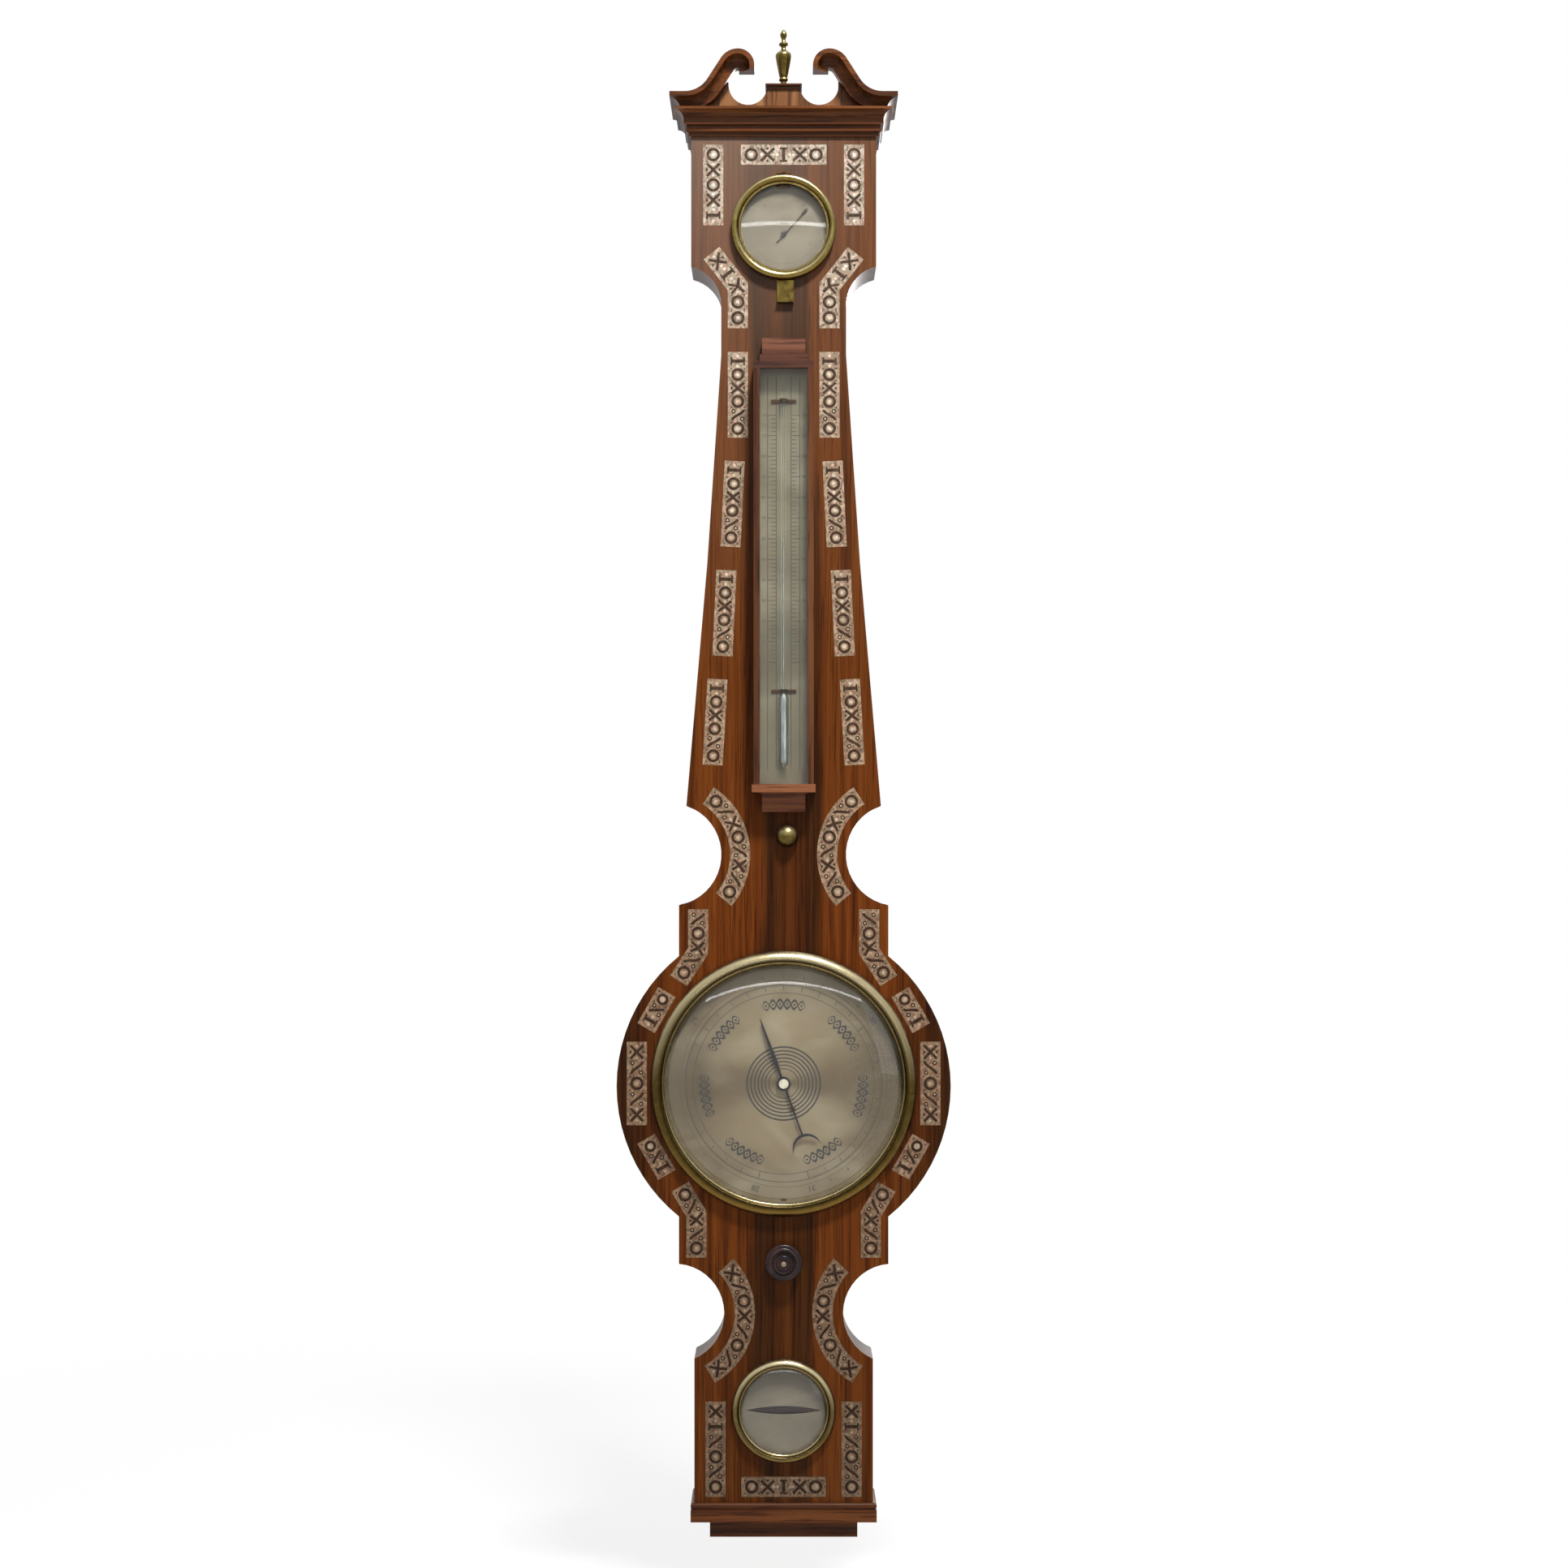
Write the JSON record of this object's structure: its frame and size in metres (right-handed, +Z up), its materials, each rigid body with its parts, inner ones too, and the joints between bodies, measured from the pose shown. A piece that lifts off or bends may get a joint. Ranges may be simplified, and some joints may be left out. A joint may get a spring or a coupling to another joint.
{
  "type": "banjo barometer",
  "caption": "Wall-hung wheel barometer in an inlaid banjo-shaped wooden case, with hygrometer, boxed thermometer, domed main dial, set knob and spirit level.",
  "frame": {"origin": "centre of the hole in the hanging plate, on the plane of the wall", "axes": "+Z up, +X to the right seen from the front, -Y out of the wall towards the viewer"},
  "size_m": [0.28, 0.0675, 1.267],
  "materials": {
    "pine": "planed, brown stained",
    "rosewood": "polished, dark streaked",
    "mahogany": "polished, reddish",
    "pearl": "polished pearl shell on a dark ground",
    "brass": "polished, slightly tarnished",
    "silvered_brass": "silvered, engraved",
    "clear_glass": "clear",
    "level_spirit": "filled with tinted spirit",
    "quicksilver": "liquid metal",
    "blued_steel": "blued",
    "dark_wood": "turned and polished",
    "straw": "dry plant fibre",
    "cord": "twisted silk"
  },
  "bodies": {
    "case": {"case_body": "pine", "tube_cover": "pine", "front_veneer": "rosewood", "cornice": "rosewood", "pediment_board": "rosewood", "swan_mouldings": "rosewood", "tablet_cap": "rosewood", "base_moulding": "rosewood", "head_inlay": "pearl", "trunk_inlay": "pearl", "dial_inlay": "pearl", "base_inlay": "pearl", "finial": "brass", "hanging_plate": "brass", "brass_screws": "brass", "door_hinges": "brass", "hygro_hinge": "brass", "thermo_hooks": "brass", "main_bezel": "brass", "arbor_bridge": "brass", "level_bezel": "brass", "hygro_dial": "silvered_brass", "main_dial": "silvered_brass", "level_dial": "silvered_brass", "main_glass": "clear_glass", "siphon_tube": "clear_glass", "level_glass": "clear_glass", "level_vial": "level_spirit", "mercury": "quicksilver", "open_mercury": "quicksilver", "hygro_beard": "straw", "drive_cord": "cord"},
    "door": {"back_door": "pine", "door_leaves": "brass"},
    "button": {"door_button": "brass"},
    "hygro_ring": {"hygro_bezel": "brass", "hygro_glass": "clear_glass"},
    "hygro_needle": {"hygro_hand": "blued_steel"},
    "catch": {"bezel_catch": "brass"},
    "thermometer": {"thermo_case": "mahogany", "thermo_cap": "mahogany", "thermo_foot": "mahogany", "thermo_glass": "clear_glass", "thermo_scale": "silvered_brass", "thermo_tube": "clear_glass", "thermo_filling": "quicksilver", "thermo_clips": "brass"},
    "brass_knob": {"trunk_knob": "brass"},
    "hand": {"steel_hand": "blued_steel", "hand_arbor": "blued_steel", "hand_boss": "brass", "thread_pulley": "brass"},
    "recorder": {"set_hand": "brass", "set_pipe": "brass"},
    "setter": {"set_knob": "dark_wood", "knob_arbor": "brass"},
    "float": {"float": "clear_glass", "float_thread": "cord"},
    "weight": {"counterweight": "brass", "weight_thread": "cord"}
  },
  "joints": [
    {"name": "hand_turn", "type": "hinge", "parent": "case", "child": "hand", "pos_m": [0, -0.015, -0.795], "axis": [0, 1, 0], "range_deg": [-145, 185]},
    {"name": "float_travel", "type": "slide", "parent": "case", "child": "float", "axis": [0, 0, 1], "range_m": [-0.0216, 0.017], "stiffness_N_per_m": 7.4, "deforming": ["float_thread", "open_mercury"]},
    {"name": "weight_travel", "type": "slide", "parent": "case", "child": "weight", "axis": [0, 0, 1], "range_m": [-0.017, 0.0216], "deforming": ["weight_thread"]},
    {"name": "set_knob_turn", "type": "hinge", "parent": "case", "child": "setter", "pos_m": [0, -0.031, -0.944], "axis": [0, 1, 0], "continuous": true},
    {"name": "set_hand_turn", "type": "hinge", "parent": "case", "child": "recorder", "pos_m": [0, -0.031, -0.795], "axis": [0, 1, 0], "continuous": true},
    {"name": "hygro_hand_turn", "type": "hinge", "parent": "case", "child": "hygro_needle", "pos_m": [0, -0.036, -0.0831], "axis": [0, 1, 0], "range_deg": [-143, 57]},
    {"name": "hygro_bezel_open", "type": "hinge", "parent": "case", "child": "hygro_ring", "pos_m": [0, -0.0488, -0.0332], "axis": [-1, 0, 0], "range_deg": [0, 85]},
    {"name": "catch_press", "type": "slide", "parent": "case", "child": "catch", "axis": [0, 0, -1], "range_m": [0, 0.004], "stiffness_N_per_m": 300, "springref_m": -0.003},
    {"name": "box_lift", "type": "slide", "parent": "case", "child": "thermometer", "axis": [0, 0, 1], "range_m": [0, 0.008]},
    {"name": "brass_knob_turn", "type": "hinge", "parent": "case", "child": "brass_knob", "pos_m": [0.003, -0.038, -0.5876], "axis": [0, 1, 0], "continuous": true},
    {"name": "back_door_open", "type": "hinge", "parent": "case", "child": "door", "pos_m": [-0.0476, -0.0015, -0.83], "axis": [0, 0, 1], "range_deg": [0, 100]},
    {"name": "door_button_turn", "type": "hinge", "parent": "case", "child": "button", "pos_m": [0.051, -0.001, -0.83], "axis": [0, -1, 0], "range_deg": [0, 90]}
  ],
  "couplings": [
    {"joint": "float_travel", "follows": "hand_turn", "m_per_rad": -0.0066},
    {"joint": "weight_travel", "follows": "hand_turn", "m_per_rad": 0.0066},
    {"joint": "set_hand_turn", "follows": "set_knob_turn", "ratio": 1}
  ]
}
